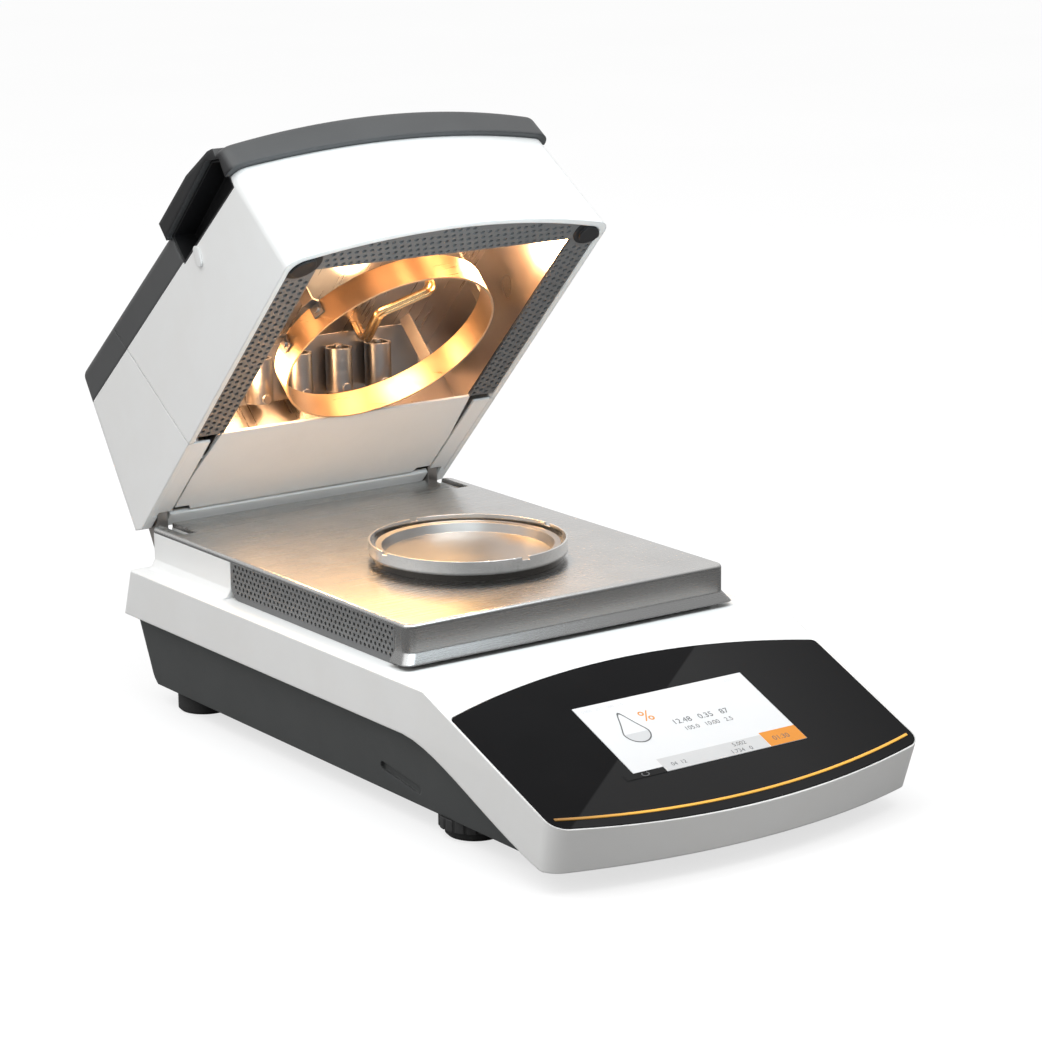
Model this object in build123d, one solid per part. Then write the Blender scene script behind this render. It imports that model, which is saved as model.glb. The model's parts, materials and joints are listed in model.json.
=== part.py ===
from build123d import *
from math import cos, sin, radians, sqrt, pi
import os

os.makedirs("parts", exist_ok=True)

# Frame: X across the width, Y towards the rear, Z up, millimetres.
# Origin: floor level, centred under the outline of the unit with its lid open.
# All pieces are laid out first in a bench frame and moved back by Y_CENTRE at the end.
Y_CENTRE = 28.79

# Housing outline: half widths at three heights, front edge drawn as an arc
FOOT_Z, SEAM_Z, DECK_Z = 10.6, 48.6, 73.5
HALF_SEAM = 109.0
HALF_BOTTOM, HALF_DECK = HALF_SEAM - 2.7, HALF_SEAM + 1.0
FRONT_BOTTOM, FRONT_SEAM, FRONT_DECK = -186.0, -198.5, -200.0
ARC_BOTTOM, ARC_SEAM, ARC_DECK = -204.5, -209.0, -211.0
REAR_SEAM = 194.0
REAR_DECK = REAR_SEAM - 10.0
CORNER_FRONT, CORNER_REAR = 11.0, 4.0
WALL = 3.2
LIP = 7.5
TUB_HALF_BOTTOM, TUB_HALF_TOP = HALF_SEAM - 11.0, HALF_SEAM - 6.0
TUB_REAR_BOTTOM, TUB_REAR_TOP = REAR_SEAM - 9.0, REAR_SEAM - 1.5
TUB_CORNER, TUB_HEEL = 6.0, 8.0
SLOT_Y, SLOT_Z, SLOT_LEN, SLOT_H, SLOT_DEG, SLOT_DEEP = -58.0, 20.9, 34.0, 4.4, 8.7, 1.6
TUB_FRONT = -174.0
TUB_WALL = 3.0
PART_GAP = 0.3

# Sloping front panel
SLOPE_ORIGIN = (0, -113.9, DECK_Z - 8.2)
SLOPE = 21.84
GLASS_T = 2.2
GLASS_TOP_HALF, GLASS_LOW_HALF = HALF_DECK - 1.8, HALF_DECK - 3.0
GLASS_R_TOP, GLASS_R_LOW = 3.0, 9.0
GLASS_LOW, GLASS_LOW_ARC, GLASS_TOP_ARC = 84.6, 98.4, 16.7
LINE_W = 1.5
LINE_HALF, LINE_SIDE_Q, LINE_MID_Q = GLASS_LOW_HALF - 3.4, 78.4, 91.0
SCREEN_X0, SCREEN_X1, SCREEN_Q0, SCREEN_Q1 = -48.0, 52.0, 11.8, 66.0
SCREEN_T = 0.25

# Connector bay in the rear wall
BAY_HALF, BAY_Y, BAY_Z0, BAY_Z1 = 51.6, REAR_SEAM - 20.0, 50.8, 70.0

# Heating chamber floor
PLATE_HALF, PLATE_FRONT, PLATE_REAR = HALF_DECK - 14.5, -60.0, REAR_DECK + 1.0
PLATE_Z, PLATE_T = DECK_Z + 21.5, 2.6
STEP_Y = 102.6
SKIRT_LOW, SKIRT_BEND = DECK_Z + 2.5, DECK_Z + 7.5
SKIRT_OUT, SKIRT_T, SKIRT_RETURN = 3.6, 1.4, 11.0
GRILLE_T, GRILLE_FRONT = 1.2, -48.6
HOLE, HOLE_PITCH, HOLE_ROW = 3.2, 7.4, 4.8

# Pan, its carrier and the draft ring
PAN_Y = 28.1
RING_R, RING_TOP, RING_BAND_Z, RING_T = 50.4, PLATE_Z + 10.8, PLATE_Z + 4.0, 1.0
RING_FOOT_R = RING_R - 2.2
PAN_RIM_R = RING_FOOT_R - RING_T - 0.4
PAN_FLOOR_R, PAN_FLOOR_Z, PAN_RIM_Z, PAN_T = PAN_RIM_R - 4.2, PLATE_Z + 2.4, PLATE_Z + 8.2, 0.6
PIN_R, PIN_FIT, PIN_LOW = 5.92, 0.08, DECK_Z - 1.5
RECEIVER_R, PLATE_HOLE_R = 8.5, 11.0

# Lid hinge and lid frame: s runs forward from the rear lower edge, t upwards
HINGE_Y, HINGE_Z, OPEN_DEG = PLATE_REAR - 11.0, PLATE_Z - 33.0, 46.0
HINGE_X, HINGE_R, ARM_T, ARM_GAP = PLATE_HALF - 9.5, 4.5, 6.0, 1.0
LID_Y, LID_Z = PLATE_REAR - 24.8, PLATE_Z + 1.8
LID_TOP_T = 112.0
LID_HALF = PLATE_HALF + 0.5
LID_HALF_TOP = LID_HALF - 3.8
LID_CORNER, LID_CORNER_TOP = 221.0, 203.5
LID_ARC, LID_ARC_TOP = 235.4, 213.5
LID_REAR, LID_REAR_TOP = -18.5, -1.5
HEEL_S, HEEL_RISE = -6.0, 0.56
LID_WALL = 3.0
SEAM_S0, SEAM_SLOPE, SEAM_GAP = 71.0, 0.238, 0.25
TOP_EDGE, TOP_MID = 99.3, 103.3
COVER_T, COVER_FRONT_T = 80.0, 65.2
LID_TILT = 0.095

# Handle: a band over the front edge with two arms that stand above the roof
HANDLE_OUT, HANDLE_UP, HANDLE_IN = 2.8, 1.4, 18.0
ARM_S, BAND_S = 134.5, 199.0
ARM_TOP = [(134.5, 94.0), (175.0, 92.0), (201.0, 86.0), (212.0, 80.6), (232.0, 78.0)]
GRIP_IN, GRIP_WALL, GRIP_S0, GRIP_S1 = 13.0, 1.2, 137.5, 203.5
GRIP_T = [(137.5, 83.0), (196.0, 82.4), (205.5, 75.5)]

# Parts under the lid
WINDOW_HALF, WINDOW_S0, WINDOW_S1 = LID_HALF - 19.5, 75.5, 210.5
BUMPER_R, BUMPER_X, BUMPER_Y = 10.7, LID_HALF - 9.0, -LID_CORNER + 4.0
TAB_Y, TAB_T = -152.0, 58.5
BOX_HALF, BOX_S0, BOX_S1 = WINDOW_HALF + 2.5, 61.5, WINDOW_S1 + 2.0
BOX_T0, BOX_T1, BOX_WALL = 2.0, 47.0, 1.2
COLLAR_S, COLLAR_R, COLLAR_T0, COLLAR_T1, COLLAR_WALL = 134.0, 58.5, -0.4, 14.0, 1.2
SOCKET_R, SOCKET_LEN, SOCKET_S, SOCKET_T = 7.2, 23.6, 70.0, 19.6
SOCKET_X = (-44.0, -19.5, 5.5, 30.0)
SOCKET_FLAT = 6.9
ROD_R, ROD_SPLIT = 1.7, 4.6

# Levelling feet
FOOT_X, FOOT_REAR_Y, FOOT_FRONT_Y = HALF_SEAM - 27.5, TUB_REAR_BOTTOM - 28.5, -94.0
WHEEL_R, WHEEL_Z0, WHEEL_Z1, PAD_R, PAD_T = 17.5, 4.6, 10.3, 14.5, 4.3
STEM_R, STEM_TOP, SCREW_R = 4.0, 21.0, 2.6
RUN_FIT = 0.06


def prism_x(points, half):
    face = Plane.YZ * make_face(Polyline(*points, close=True))
    return extrude(face, half, both=True)


def block(x0, x1, y0, y1, z0, z1):
    return Pos((x0 + x1) / 2, (y0 + y1) / 2, (z0 + z1) / 2) * Box(x1 - x0, y1 - y0, z1 - z0)


def disc(r, z0, z1, x=0.0, y=0.0):
    return Pos(x, y, (z0 + z1) / 2) * Cylinder(r, z1 - z0)


def turned(points, x, y):
    face = Plane.XZ * make_face(Polyline(*points, close=True))
    return Pos(x, y, 0) * revolve(face, Axis.Z)


def plan_face(z, half_front, half_rear, corner, arc, rear, r_front, r_rear):
    edges = [
        ThreePointArc((-half_front, corner), (0, arc), (half_front, corner)),
        Line((half_front, corner), (half_rear, rear)),
        Line((half_rear, rear), (-half_rear, rear)),
        Line((-half_rear, rear), (-half_front, corner)),
    ]
    face = make_face(edges)
    front = [v for v in face.vertices() if abs(v.Y - rear) > 1]
    face = fillet(front, r_front)
    back = [v for v in face.vertices() if abs(v.Y - rear) < 0.01]
    return Pos(0, 0, z) * fillet(back, r_rear)


def seam_points(drop=0.0):
    curve = Bezier((-74.5, SEAM_Z), (-101.5, SEAM_Z - 0.5), (-136.5, 24.6), (-174.5, 12.4))
    points = [curve @ (i / 12) for i in range(13)]
    return [(p.X, p.Y - drop * min(1.0, i / 2)) for i, p in enumerate(points)]


def housing_solid(inset):
    half = HALF_BOTTOM - 0.5 - inset
    low = plan_face(FOOT_Z - 6, half, half, FRONT_BOTTOM + 1.7 + inset,
                    ARC_BOTTOM + 1 + inset, REAR_SEAM - inset, CORNER_FRONT, CORNER_REAR)
    seam = plan_face(SEAM_Z, HALF_SEAM - inset, HALF_SEAM - inset, FRONT_SEAM + inset,
                     ARC_SEAM + inset, REAR_SEAM - inset, CORNER_FRONT, CORNER_REAR)
    deck = plan_face(DECK_Z + 1, HALF_DECK - inset, HALF_DECK - inset, FRONT_DECK + inset,
                     ARC_DECK + inset, REAR_DECK - inset, CORNER_FRONT, CORNER_REAR)
    return loft([low, seam], ruled=True) + loft([seam, deck], ruled=True)


def slope_z(y):
    return SLOPE_ORIGIN[2] + (y - SLOPE_ORIGIN[1]) * sin(radians(SLOPE)) / cos(radians(SLOPE))


def crest_y(z):
    return SLOPE_ORIGIN[1] + (z - SLOPE_ORIGIN[2]) * cos(radians(SLOPE)) / sin(radians(SLOPE))


def slope_plane(offset=0.0):
    a = radians(SLOPE)
    normal = Vector(0, -sin(a), cos(a))
    origin = Vector(*SLOPE_ORIGIN) + normal * offset
    return Plane(origin=origin, x_dir=(1, 0, 0), z_dir=normal)


def arc_drop(x, half, rise):
    r = (half ** 2 + rise ** 2) / (2 * rise)
    return r - sqrt(r ** 2 - x ** 2)


def glass_face(grow, half_extra):
    top, low = GLASS_TOP_HALF + half_extra, GLASS_LOW_HALF + half_extra
    top_y = GLASS_TOP_ARC + grow - arc_drop(top, GLASS_TOP_HALF, GLASS_TOP_ARC)
    low_y = -GLASS_LOW_ARC - grow + arc_drop(low, GLASS_LOW_HALF, GLASS_LOW_ARC - GLASS_LOW)
    edges = [
        ThreePointArc((-low, low_y), (0, -GLASS_LOW_ARC - grow), (low, low_y)),
        Line((low, low_y), (top, top_y)),
        ThreePointArc((top, top_y), (0, GLASS_TOP_ARC + grow), (-top, top_y)),
        Line((-top, top_y), (-low, low_y)),
    ]
    face = make_face(edges)
    lower = [v for v in face.vertices() if v.Y < -GLASS_LOW / 2]
    face = fillet(lower, GLASS_R_LOW + grow)
    upper = [v for v in face.vertices() if v.Y > -GLASS_LOW / 2]
    return fillet(upper, GLASS_R_TOP + grow)


def glass_prism(grow, half_extra, low, high):
    return extrude(slope_plane(low) * glass_face(grow, half_extra), high - low)


def screen_prism(margin, low, high):
    width = SCREEN_X1 - SCREEN_X0 + 2 * margin
    height = SCREEN_Q1 - SCREEN_Q0 + 2 * margin
    centre = Pos((SCREEN_X0 + SCREEN_X1) / 2, -(SCREEN_Q0 + SCREEN_Q1) / 2)
    return extrude(slope_plane(low) * centre * Rectangle(width, height), high - low)


def upper_profile(rise, drop):
    crest = crest_y(DECK_Z - drop)
    low = [(y, z + rise) for y, z in seam_points()]
    return ([(REAR_SEAM + 26, SEAM_Z + rise)] + low + [(-181, FOOT_Z + rise), (-230, FOOT_Z + rise)]
            + [(-230, slope_z(-230) - drop), (crest + drop * 0.15, DECK_Z - drop),
               (REAR_SEAM + 26, DECK_Z - drop)])


def hinge_slots(low):
    half = ARM_T / 2 + ARM_GAP
    slots = [block(s * HINGE_X - half, s * HINGE_X + half, LID_Y - 1.6, 215, low, 110) for s in (-1, 1)]
    return slots[0] + slots[1]


def shoulder():
    rear, centre = PLATE_REAR - 4, (STEP_Y + PLATE_REAR - 4) / 2
    faces = []
    for z, out in ((DECK_Z - 0.5, 5.5), (DECK_Z + 1.2, 2.0), (DECK_Z + 4.6, 0.05)):
        faces.append(Pos(0, centre, z) * Rectangle(2 * (PLATE_HALF + out), rear - STEP_Y))
    flare = loft(faces[:2], ruled=True) + loft(faces[1:], ruled=True)
    return flare - block(-PLATE_HALF + 2, PLATE_HALF - 2, STEP_Y - 1, rear + 1, 0, 120)


def upper_housing():
    body = housing_solid(0) & prism_x(upper_profile(0, 0), 130)
    body -= housing_solid(WALL) & prism_x(upper_profile(WALL, WALL + 2), 130)
    throat = [(REAR_SEAM + 26, 0), (-150, 0), (-150, 30), (-110, SEAM_Z + 4), (REAR_SEAM + 26, SEAM_Z + 4)]
    body -= housing_solid(LIP + WALL) & prism_x(throat, 130)
    pedestal = block(-PLATE_HALF, PLATE_HALF, STEP_Y, PLATE_REAR + 0.5, DECK_Z - 1, PLATE_Z - PLATE_T)
    pedestal = fillet(pedestal.edges().filter_by(Axis.Z).sort_by(Axis.Y)[-2:], 6)
    pedestal -= block(-PLATE_HALF + 4, PLATE_HALF - 4, STEP_Y + 4, PLATE_REAR - 4, 0, PLATE_Z - PLATE_T - 3)
    body += pedestal + shoulder()
    post = PLATE_HALF - 7
    for x in (-post, post):
        body += block(x - 5, x + 5, GRILLE_FRONT + 4, GRILLE_FRONT + 12, DECK_Z - 1, DECK_Z + 6)
    body -= disc(PLATE_HOLE_R + 3, DECK_Z - 20, DECK_Z + 10, 0, PAN_Y)
    body -= glass_prism(PART_GAP, PART_GAP, -GLASS_T, 20)
    body -= screen_prism(3, -30, 5)
    frame = block(-BAY_HALF - 3, BAY_HALF + 3, BAY_Y - 3, REAR_SEAM + 1, SEAM_Z + 0.4, DECK_Z - 1)
    body += frame & housing_solid(0.6)
    body -= block(-BAY_HALF, BAY_HALF, BAY_Y - 10, REAR_SEAM + 26, BAY_Z0, BAY_Z1)
    body -= hinge_slots(SEAM_Z + 6)
    return body


def panel_glass():
    return glass_prism(0, 0, -GLASS_T, 0.2)


def accent_line():
    rim = 0.4
    x, side, mid = LINE_HALF, LINE_SIDE_Q, LINE_MID_Q
    outer = [
        ThreePointArc((-x, -side), (0, -mid), (x, -side)),
        Line((x, -side), (x, -side - LINE_W)),
        ThreePointArc((x, -side - LINE_W), (0, -mid - LINE_W), (-x, -side - LINE_W)),
        Line((-x, -side - LINE_W), (-x, -side)),
    ]
    return extrude(slope_plane(0.2) * make_face(outer), rim)


def display_screen():
    return screen_prism(0, 0.2, 0.2 + SCREEN_T)


def display_module():
    return screen_prism(1.5, -GLASS_T - 9, -GLASS_T)


def tub_solid(inset):
    low = plan_face(FOOT_Z, TUB_HALF_BOTTOM - inset, TUB_HALF_BOTTOM - inset, TUB_FRONT + inset,
                    TUB_FRONT - 14 + inset, TUB_REAR_BOTTOM - inset, 12, TUB_CORNER)
    top = plan_face(SEAM_Z, TUB_HALF_TOP - inset, TUB_HALF_TOP - inset, TUB_FRONT - 6 + inset,
                    TUB_FRONT - 20 + inset, TUB_REAR_TOP - inset, 12, TUB_CORNER)
    return loft([low, top], ruled=True)


def side_slot(side):
    shape = Rot(0, 90, 0) * extrude(SlotOverall(SLOT_LEN, SLOT_H, rotation=90), SLOT_DEEP, both=True)
    x = TUB_HALF_BOTTOM + (TUB_HALF_TOP - TUB_HALF_BOTTOM) * (SLOT_Z - FOOT_Z) / (SEAM_Z - FOOT_Z)
    return Pos(side * x, SLOT_Y, SLOT_Z) * Rot(SLOT_DEG, 0, 0) * shape


def lower_housing():
    low = seam_points(drop=0.6)
    profile = [(REAR_SEAM + 26, SEAM_Z)] + low + [(-181, FOOT_Z - 1), (REAR_SEAM + 26, FOOT_Z - 1)]
    body = tub_solid(0) & prism_x(profile, 130)
    inner = [(REAR_SEAM + 26, SEAM_Z + 1), (-60, SEAM_Z + 1), (-95, 38), (-140, 20),
             (-160, FOOT_Z + 3), (REAR_SEAM + 26, FOOT_Z + 3)]
    body -= tub_solid(TUB_WALL) & prism_x(inner, 130)
    rear = TUB_REAR_BOTTOM
    heel = [(rear - TUB_HEEL, FOOT_Z - 1), (rear + 9, FOOT_Z - 1), (rear + 9, FOOT_Z + TUB_HEEL + 9)]
    body -= prism_x(heel, 130)
    for side in (-1, 1):
        body -= side_slot(side)
        for y in (FOOT_REAR_Y, FOOT_FRONT_Y):
            body += disc(9, FOOT_Z, 24, side * (FOOT_X - 1), y)
    for side in (-1, 1):
        body -= disc(STEM_R + RUN_FIT, 0, STEM_TOP + 1, side * FOOT_X, FOOT_FRONT_Y)
        body -= disc(4.2, 0, 18, side * FOOT_X, FOOT_REAR_Y)
    vents = [block(-60 + 12 * i, -54 + 12 * i, 90, 130, 0, 20) for i in range(11)]
    for vent in vents:
        body -= vent
    return body


def rear_foot(side):
    pad = disc(PAD_R, 0, FOOT_Z, side * FOOT_X, FOOT_REAR_Y)
    pad = chamfer(pad.edges().sort_by(Axis.Z)[0], 1.2)
    return pad + disc(3.9, FOOT_Z - 1, 17, side * FOOT_X, FOOT_REAR_Y)


def foot_wheel(side):
    wheel = disc(WHEEL_R, WHEEL_Z0, WHEEL_Z1, 0, 0)
    for i in range(18):
        wheel -= Rot(0, 0, 20 * i) * disc(1.1, WHEEL_Z0 - 1, WHEEL_Z1 + 1, WHEEL_R + 0.3, 0)
    wheel += disc(STEM_R, WHEEL_Z1 - 1, STEM_TOP, 0, 0)
    wheel -= disc(SCREW_R + RUN_FIT, 0, STEM_TOP - 3, 0, 0)
    return Pos(side * FOOT_X, FOOT_FRONT_Y, 0) * wheel


def foot_pad(side):
    pad = chamfer(disc(PAD_R, 0, PAD_T).edges().sort_by(Axis.Z)[0], 1.2)
    pad += disc(SCREW_R, PAD_T - 1, STEM_TOP - 5)
    return Pos(side * FOOT_X, FOOT_FRONT_Y, 0) * pad


def skirt_face(z, grow):
    x = PLATE_HALF + grow
    y = PLATE_FRONT - grow
    rear = PLATE_FRONT + SKIRT_RETURN
    face = make_face(Polyline((-x, rear), (-x, y), (x, y), (x, rear), close=True))
    corners = [v for v in face.vertices() if v.Y < rear - 1]
    return Pos(0, 0, z) * fillet(corners, 5.0)


def chamber_plate():
    top = Pos(0, (PLATE_FRONT + PLATE_REAR) / 2, PLATE_Z - PLATE_T / 2) * Box(
        2 * PLATE_HALF, PLATE_REAR - PLATE_FRONT, PLATE_T)
    top = fillet(top.edges().filter_by(Axis.Z), 5.0)
    skirt = loft([skirt_face(SKIRT_LOW, SKIRT_OUT), skirt_face(SKIRT_BEND, 0)], ruled=True)
    skirt += extrude(skirt_face(SKIRT_BEND, 0), PLATE_Z - SKIRT_BEND - 1)
    hollow = loft([skirt_face(SKIRT_LOW - 0.01, SKIRT_OUT - SKIRT_T), skirt_face(SKIRT_BEND, -SKIRT_T)],
                  ruled=True)
    hollow += extrude(skirt_face(SKIRT_BEND - 0.01, -SKIRT_T), PLATE_Z - PLATE_T - SKIRT_BEND)
    hollow += block(-PLATE_HALF + SKIRT_T, PLATE_HALF - SKIRT_T, PLATE_FRONT + 8, PLATE_FRONT + 20,
                    SKIRT_LOW - 1, PLATE_Z - PLATE_T)
    body = top + (skirt - hollow)
    body -= disc(PLATE_HOLE_R, PLATE_Z - 15, PLATE_Z + 25, 0, PAN_Y)
    body -= hinge_slots(80)
    edge = body.edges().filter_by(Axis.X).filter_by(lambda e: abs(e.center().Z - PLATE_Z) < 0.01)
    return fillet(edge.sort_by(Axis.Y)[0], 2.0)


def grille(side):
    width, height = STEP_Y - 0.4 - GRILLE_FRONT, PLATE_Z - PLATE_T - DECK_Z
    outline = Rectangle(width, height)
    corner = outline.vertices().sort_by(Axis.X)[-2:].sort_by(Axis.Y)[0]
    outline = fillet(corner, 7)
    columns = int((width - 12) / HOLE_PITCH)
    for row in range(3):
        y = (row - 1) * HOLE_ROW
        shift = HOLE_PITCH / 2 if row % 2 else 0
        spots = [Pos(-width / 2 + 7 + shift + HOLE_PITCH * i, y) for i in range(columns)]
        for spot in spots:
            outline -= spot * Rectangle(HOLE, HOLE, rotation=45)
    plane = Plane(origin=(side * (PLATE_HALF - GRILLE_T), (STEP_Y - 0.4 + GRILLE_FRONT) / 2,
                          (DECK_Z + PLATE_Z - PLATE_T) / 2), x_dir=(0, 1, 0), z_dir=(1, 0, 0))
    sheet = extrude(plane * outline, GRILLE_T)
    return sheet if side > 0 else Pos(-GRILLE_T, 0, 0) * sheet


def draft_ring():
    foot_in = RING_FOOT_R - RING_T
    inner = RING_R - RING_T
    ring = turned([(foot_in, PLATE_Z), (RING_FOOT_R, PLATE_Z),
                   (RING_FOOT_R, RING_BAND_Z), (RING_R, RING_BAND_Z),
                   (RING_R, RING_TOP), (inner, RING_TOP), (inner, RING_BAND_Z + RING_T),
                   (foot_in, RING_BAND_Z + RING_T)], 0, PAN_Y)
    for angle in (0, 90, 180, 270):
        nick = block(RING_R - 3, RING_R + 2, -2.2, 2.2, RING_TOP - 1.6, RING_TOP + 1)
        ring -= Pos(0, PAN_Y, 0) * Rot(0, 0, angle) * nick
    return ring


def pan_carrier():
    hub = disc(14, PAN_FLOOR_Z - 1.4, PAN_FLOOR_Z)
    rim = disc(38, PAN_FLOOR_Z - 1.4, PAN_FLOOR_Z) - disc(34, PAN_FLOOR_Z - 5, PAN_FLOOR_Z + 5)
    arms = [Rot(0, 0, 60 + 120 * i) * block(8, 36, -3, 3, PAN_FLOOR_Z - 1.4, PAN_FLOOR_Z) for i in range(3)]
    body = hub + rim + arms[0] + arms[1] + arms[2] + disc(PIN_R, PIN_LOW, PAN_FLOOR_Z - 1)
    return Pos(0, PAN_Y, 0) * body


def sample_pan():
    z0, z1 = PAN_FLOOR_Z, PAN_RIM_Z
    r0, r1 = PAN_FLOOR_R, PAN_RIM_R
    return turned([(0, z0), (r0, z0), (r0 + 1.6, z1 - 1.2), (r1, z1 - 0.6), (r1, z1),
                   (r0 + 1.1, z1 - 0.5), (r0 - 0.5, z0 + PAN_T), (0, z0 + PAN_T)], 0, PAN_Y)


def load_receiver():
    low = DECK_Z - 7.5
    body = disc(RECEIVER_R, low, PLATE_Z - 3, 0, PAN_Y) + disc(13, low, low + 2, 0, PAN_Y)
    return body - disc(PIN_R + PIN_FIT, PIN_LOW, PLATE_Z + 5, 0, PAN_Y)


def weighing_cell():
    cell = block(-26, 26, PAN_Y - 20, PAN_Y + 62, 34, DECK_Z - 7.5)
    cell -= block(-14, 14, PAN_Y - 30, PAN_Y + 70, 42, DECK_Z - 15.5)
    for x in (-20, 20):
        cell += block(x - 5, x + 5, PAN_Y + 30, PAN_Y + 55, FOOT_Z + 3, 35)
    return cell


def main_board():
    board = block(-70, 70, -70, 0, 26, 27.6)
    for x, y, w, d, h in ((-30, -40, 22, 22, 2.4), (20, -50, 14, 14, 2),
                          (45, -20, 26, 12, 9), (-52, -14, 10, 16, 11)):
        board += block(x - w / 2, x + w / 2, y - d / 2, y + d / 2, 27, 27.6 + h)
    for x in (-66, 66):
        for y in (-66, -4):
            board += disc(3, FOOT_Z + 3, 26.5, x, y)
    return board


def power_supply():
    return block(38, 84, 20, 120, FOOT_Z + 3, 46)


def rear_panel():
    plate = block(-BAY_HALF, BAY_HALF, BAY_Y, BAY_Y + 2, BAY_Z0, BAY_Z1)
    plate -= block(-44.8, 1.6, BAY_Y - 4, BAY_Y + 6, 51.6, 68.0)
    plate -= block(8.2, 26, BAY_Y - 4, BAY_Y + 6, 53.2, 65.8)
    return plate - block(28, 42.4, BAY_Y - 4, BAY_Y + 6, 55.5, 63.5)


def mains_inlet():
    body = block(-44.8, 1.6, BAY_Y - 24, BAY_Y + 3.5, 51.6, 68.0)
    body -= block(-42.5, -19.5, BAY_Y - 14, BAY_Y + 6, 53.4, 66.2)
    body -= block(-12.0, 0.8, BAY_Y - 21, BAY_Y + 6, 52.6, 67.0)
    for x, z in ((-37, 58), (-31, 62), (-25, 58)):
        body += block(x - 1, x + 1, BAY_Y - 16, BAY_Y, z - 2, z + 2)
    return body


def fuse_drawer():
    body = block(-11.7, 0.5, BAY_Y - 20, BAY_Y + 4, 52.9, 66.7)
    body -= block(-9.5, -1.5, BAY_Y - 17, BAY_Y - 1, 58, 80)
    return body + block(-8.5, -2.5, BAY_Y + 3, BAY_Y + 6.4, 58, 61)


def data_port(x0, x1, z0, z1):
    body = block(x0, x1, BAY_Y - 14, BAY_Y + 3.2, z0, z1)
    return body - block(x0 + 1, x1 - 1, BAY_Y - 8, BAY_Y + 6, z0 + 1, z1 - 1)


def serial_port():
    body = data_port(8.2, 26, 53.2, 65.8)
    for i in range(5):
        body += block(10.7 + 3 * i, 11.5 + 3 * i, BAY_Y - 9, BAY_Y, 60.8, 61.6)
    for i in range(4):
        body += block(12.2 + 3 * i, 13.0 + 3 * i, BAY_Y - 9, BAY_Y, 57.2, 58.0)
    return body


def usb_port():
    body = data_port(28, 42.4, 55.5, 63.5)
    return body + block(30.5, 39.9, BAY_Y - 9, BAY_Y + 1, 60, 61.4)


def hinge_cylinder(side, r, length):
    return Pos(side * HINGE_X, HINGE_Y, HINGE_Z) * Rot(0, 90, 0) * Cylinder(r, length)


def hinge_bracket(side):
    top = DECK_Z - WALL - 2
    body = block(side * HINGE_X - 9, side * HINGE_X + 9, HINGE_Y - 16, HINGE_Y - 13, HINGE_Z - 9, top)
    for x in (side * HINGE_X - 7, side * HINGE_X + 7):
        body += block(x - 2, x + 2, HINGE_Y - 16, HINGE_Y + 7, HINGE_Z - 9, top)
    return body - hinge_cylinder(side, HINGE_R, 80)


def hinge_pin(side):
    return hinge_cylinder(side, HINGE_R, 18)


def lid_plan(t, hf, corner, arc, rear, inset):
    return plan_face(t, hf - inset, hf - inset, -corner + inset, -arc + inset, -rear - inset, 9, 8)


def arch(edge, mid):
    h = mid - edge
    r = ((LID_HALF - LID_WALL) ** 2 + h ** 2) / (2 * h)
    face = Plane.XZ * (Pos(0, mid - r) * Circle(r))
    face = Pos(0, 40, 40 * LID_TILT) * face
    return extrude(face, 320, dir=(0, -1, -LID_TILT))


def lid_loft(inset):
    low = lid_plan(0, LID_HALF, LID_CORNER, LID_ARC, LID_REAR, inset)
    top = lid_plan(LID_TOP_T, LID_HALF_TOP, LID_CORNER_TOP, LID_ARC_TOP, LID_REAR_TOP, inset)
    return loft([low, top], ruled=True)


def lid_outer():
    body = lid_loft(0) & arch(TOP_EDGE, TOP_MID)
    body -= prism_x([(-HEEL_S, 0), (40, 0), (40, (40 + HEEL_S) * HEEL_RISE)], 130)
    top = [e for e in body.edges() if e.center().Z > 75 and abs(e.tangent_at(0.5).Z) < 0.5]
    return fillet(top, 5.0)


def lid_inner():
    body = lid_loft(LID_WALL) & arch(TOP_EDGE - LID_WALL, TOP_MID - LID_WALL)
    wall = LID_WALL
    heel = [(-4, -1), (45, -1), (45, (45 + HEEL_S) * HEEL_RISE + wall), (-HEEL_S, wall), (-4, wall)]
    return body - prism_x(heel, 130)


def seam_y(t):
    return -(SEAM_S0 - SEAM_SLOPE * t)


def seam_prism(front, gap):
    far, shift = (-300, -gap) if front else (100, gap)
    return prism_x([(seam_y(-20) + shift, -20), (far, -20), (far, 140), (seam_y(140) + shift, 140)], 130)


def cover_line(front):
    return COVER_T - front * LID_TILT


def below_cover(gap=0.0):
    points = [(40, cover_line(-40) + gap), (-GRIP_S1, cover_line(GRIP_S1) + gap),
              (-GRIP_S1, COVER_FRONT_T + gap)]
    return prism_x(points + [(-300, COVER_FRONT_T + gap), (-300, -40), (40, -40)], 130)


def grip_block(side, grow=0.0):
    x0, x1 = side * (LID_HALF + 6), side * (LID_HALF - LID_WALL - GRIP_IN - grow)
    (s0, t0), (s1, t1), (s2, t2) = GRIP_T
    points = [(-GRIP_S0 + grow, cover_line(GRIP_S0) - grow), (-GRIP_S1 - grow, cover_line(GRIP_S1) - grow),
              (-s2 - grow, t2 + grow / 2), (-s1, t1 + grow), (-s0 + grow, t0 + grow)]
    return prism_x(points, 130) & block(min(x0, x1), max(x0, x1), -260, 0, 0, 140)


def arm_zone(grow=0.0):
    (s0, t0), (s1, t1), (s2, t2) = GRIP_T
    points = [(-ARM_S + grow, t0 - grow), (-s1, t1 - grow), (-s2, t2 - grow),
              (-s2, 140), (-ARM_S + grow, 140)]
    middle = LID_HALF - HANDLE_IN - grow
    return prism_x(points, 130) - block(-middle, middle, -300, 0, 0, 150)


def band_zone(grow=0.0):
    return block(-130, 130, -260, -BAND_S + grow, 0, 140)


def top_edges(shape):
    return [e for e in shape.edges() if e.center().Z > 70 and abs(e.tangent_at(0.5).Z) < 0.5]


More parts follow.
